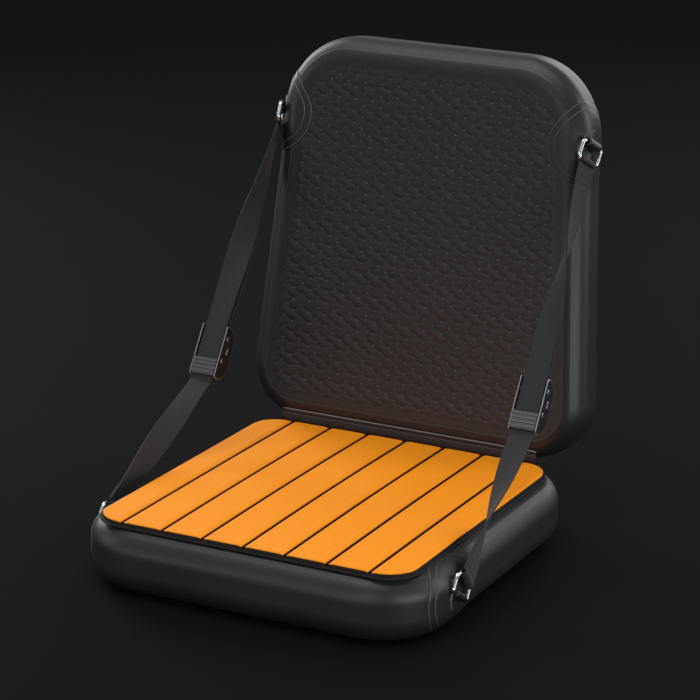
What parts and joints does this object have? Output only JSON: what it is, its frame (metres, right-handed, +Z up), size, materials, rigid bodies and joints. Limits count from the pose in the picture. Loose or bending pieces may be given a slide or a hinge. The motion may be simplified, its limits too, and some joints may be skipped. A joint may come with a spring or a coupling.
{
  "type": "inflatable kayak seat",
  "caption": "Folding kayak seat of two inflatable drop-stitch chambers with a planked foam pad, a fabric hinge, side straps with cam buckles and D-rings.",
  "frame": {"origin": "middle of the flat underside that rests on the kayak's floor", "axes": "+Z up, +X to the right seen from the front, -Y towards the front edge of the seat, away from the backrest"},
  "size_m": [0.4044, 0.4818, 0.4876],
  "materials": {
    "orange_foam": "matt closed-cell foam",
    "black_foam": "matt closed-cell foam",
    "stainless": "polished",
    "spring_steel": "bright drawn",
    "buckle_metal": "black satin coating",
    "webbing": "ribbed woven webbing",
    "yarn": "woven",
    "embossed_skin": "satin, embossed with a herringbone",
    "valve_plastic": "moulded",
    "patch_sheet": "satin coated sheet",
    "seam_tape": "satin coated tape",
    "chamber_skin": "satin coated skin"
  },
  "bodies": {
    "seat": {"hinge_flap_seat_half": "patch_sheet", "left_lower_patch_inner": "patch_sheet", "left_lower_patch_outer": "patch_sheet", "left_lower_ring_tab": "patch_sheet", "pad_backing_sheet": "black_foam", "pad_plank_1": "orange_foam", "pad_plank_2": "orange_foam", "pad_plank_3": "orange_foam", "pad_plank_4": "orange_foam", "pad_plank_5": "orange_foam", "pad_plank_6": "orange_foam", "pad_plank_7": "orange_foam", "pad_plank_8": "orange_foam", "right_lower_patch_inner": "patch_sheet", "right_lower_patch_outer": "patch_sheet", "right_lower_ring_tab": "patch_sheet", "seat_bottom_skin": "chamber_skin", "seat_drop_stitch_core": "yarn", "seat_lower_seam_tape": "seam_tape", "seat_side_band": "chamber_skin", "seat_top_skin": "chamber_skin", "seat_upper_seam_tape": "seam_tape", "seat_valve_body": "valve_plastic"},
    "backrest": {"backrest_bottom_skin": "chamber_skin", "backrest_drop_stitch_core": "yarn", "backrest_lower_seam_tape": "seam_tape", "backrest_side_band": "chamber_skin", "backrest_top_skin": "embossed_skin", "backrest_upper_seam_tape": "seam_tape", "backrest_valve_body": "valve_plastic", "hinge_flap_backrest_half": "patch_sheet", "left_upper_patch_inner": "patch_sheet", "left_upper_patch_outer": "patch_sheet", "left_upper_ring_tab": "patch_sheet", "right_upper_patch_inner": "patch_sheet", "right_upper_patch_outer": "patch_sheet", "right_upper_ring_tab": "patch_sheet"},
    "left_strap": {"left_lower_d_ring": "stainless", "left_strap_lower": "webbing", "left_strap_upper": "webbing"},
    "left_buckle": {"left_buckle_frame": "buckle_metal", "left_buckle_cam_pin": "stainless", "left_buckle_webbing_bar": "stainless", "left_buckle_cam_spring": "spring_steel"},
    "left_cam": {"left_buckle_cam": "buckle_metal"},
    "left_upper_ring": {"left_upper_d_ring": "stainless"},
    "right_strap": {"right_lower_d_ring": "stainless", "right_strap_lower": "webbing", "right_strap_upper": "webbing"},
    "right_buckle": {"right_buckle_frame": "buckle_metal", "right_buckle_cam_pin": "stainless", "right_buckle_webbing_bar": "stainless", "right_buckle_cam_spring": "spring_steel"},
    "right_cam": {"right_buckle_cam": "buckle_metal"},
    "right_upper_ring": {"right_upper_d_ring": "stainless"},
    "seat_cap": {"seat_valve_cap": "valve_plastic"},
    "seat_plunger": {"seat_valve_plunger": "valve_plastic"},
    "backrest_cap": {"backrest_valve_cap": "valve_plastic"},
    "backrest_plunger": {"backrest_valve_plunger": "valve_plastic"}
  },
  "joints": [
    {"name": "backrest_fold", "type": "hinge", "parent": "seat", "child": "backrest", "pos_m": [0, 0.171, 0.0726], "axis": [1, 0, 0], "range_deg": [0, 95.5], "deforming": ["left_strap_lower", "left_strap_upper", "right_strap_lower", "right_strap_upper"]},
    {"name": "left_strap_splay", "type": "hinge", "parent": "seat", "child": "left_strap", "pos_m": [-0.1976, -0.121, 0.0345], "axis": [0.0927, -0.8213, 0.563], "range_deg": [0, 11.4], "deforming": ["left_strap_lower", "left_strap_upper"]},
    {"name": "left_ring_swing", "type": "hinge", "parent": "left_strap", "child": "left_upper_ring", "pos_m": [0, 0.20215, 0.03552], "axis": [0.9749, 0.1465, -0.1676], "range_deg": [0, 95.6]},
    {"name": "left_buckle_slide", "type": "slide", "parent": "left_strap", "child": "left_buckle", "axis": [0, 0.5432, 0.8396], "range_m": [0, 0.02], "deforming": ["left_strap_upper", "left_strap_lower"]},
    {"name": "left_cam_open", "type": "hinge", "parent": "left_buckle", "child": "left_cam", "pos_m": [-0.183, 0.06716, 0.16142], "axis": [-1, 0, 0], "range_deg": [0, 25], "stiffness_Nm_per_rad": 0.05, "springref_deg": -17.19},
    {"name": "right_strap_splay", "type": "hinge", "parent": "seat", "child": "right_strap", "pos_m": [0.1976, -0.121, 0.0345], "axis": [0.0927, 0.8213, -0.563], "range_deg": [0, 11.4], "deforming": ["right_strap_lower", "right_strap_upper"]},
    {"name": "right_ring_swing", "type": "hinge", "parent": "right_strap", "child": "right_upper_ring", "pos_m": [0, 0.20215, 0.03552], "axis": [0.9749, -0.1465, 0.1676], "range_deg": [0, 95.6]},
    {"name": "right_buckle_slide", "type": "slide", "parent": "right_strap", "child": "right_buckle", "axis": [0, 0.5432, 0.8396], "range_m": [0, 0.02], "deforming": ["right_strap_upper", "right_strap_lower"]},
    {"name": "right_cam_open", "type": "hinge", "parent": "right_buckle", "child": "right_cam", "pos_m": [0.183, 0.06716, 0.16142], "axis": [-1, 0, 0], "range_deg": [0, 25], "stiffness_Nm_per_rad": 0.05, "springref_deg": -17.19},
    {"name": "seat_cap_pull", "type": "slide", "parent": "seat", "child": "seat_cap", "axis": [0, 1, 0], "range_m": [0, 0.015]},
    {"name": "seat_plunger_push", "type": "slide", "parent": "seat", "child": "seat_plunger", "axis": [0, -1, 0], "range_m": [0, 0.003], "stiffness_N_per_m": 250},
    {"name": "backrest_cap_pull", "type": "slide", "parent": "backrest", "child": "backrest_cap", "axis": [0, 0.9949, -0.1011], "range_m": [0, 0.015]},
    {"name": "backrest_plunger_push", "type": "slide", "parent": "backrest", "child": "backrest_plunger", "axis": [0, -0.9949, 0.1011], "range_m": [0, 0.003], "stiffness_N_per_m": 250}
  ],
  "couplings": [
    {"joint": "left_strap_splay", "follows": "backrest_fold", "ratio": 0.11005},
    {"joint": "left_ring_swing", "follows": "backrest_fold", "ratio": 0.9988},
    {"joint": "right_strap_splay", "follows": "backrest_fold", "ratio": 0.11005},
    {"joint": "right_ring_swing", "follows": "backrest_fold", "ratio": 0.9988}
  ]
}
